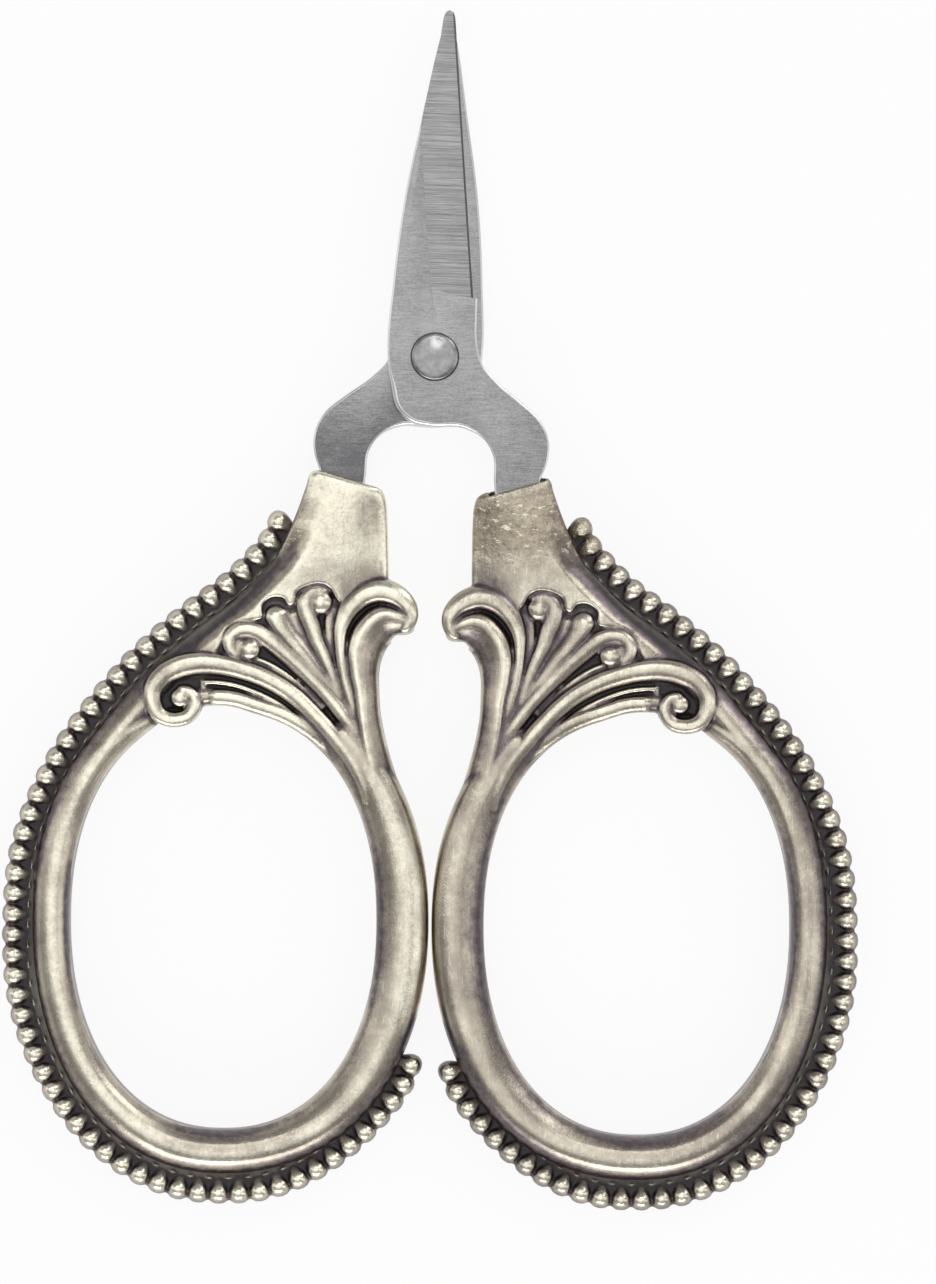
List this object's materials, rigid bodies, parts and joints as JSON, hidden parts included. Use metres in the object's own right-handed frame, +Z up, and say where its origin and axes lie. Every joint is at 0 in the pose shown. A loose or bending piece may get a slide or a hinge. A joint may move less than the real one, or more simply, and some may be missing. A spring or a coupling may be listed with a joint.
{
  "type": "embroidery scissors",
  "caption": "Small sharp-pointed embroidery scissors with two crossed steel blades on a rivet and cast antique-brass handles with scrolled leaves and beaded rims.",
  "frame": {"origin": "centre of the bounding box's underside, with the scissors closed and lying flat", "axes": "+Y along the scissors towards the points, +Z up out of the front face, +X towards the handle of the front blade"},
  "size_m": [0.0424, 0.0594, 0.003],
  "materials": {
    "front_steel": "brushed",
    "rear_steel": "brushed",
    "rivet_steel": "satin",
    "right_brass": "antique, dark in the recesses",
    "left_brass": "antique, dark in the recesses"
  },
  "bodies": {
    "rear_arm": {"rear_blade": "rear_steel", "left_handle": "left_brass", "pivot_rivet": "rivet_steel"},
    "front_arm": {"front_blade": "front_steel", "right_handle": "right_brass"}
  },
  "joints": [
    {"name": "pivot", "type": "hinge", "parent": "rear_arm", "child": "front_arm", "pos_m": [0.00024, 0.01254, 0.0015], "axis": [0, 0, 1], "range_deg": [0, 90]}
  ]
}
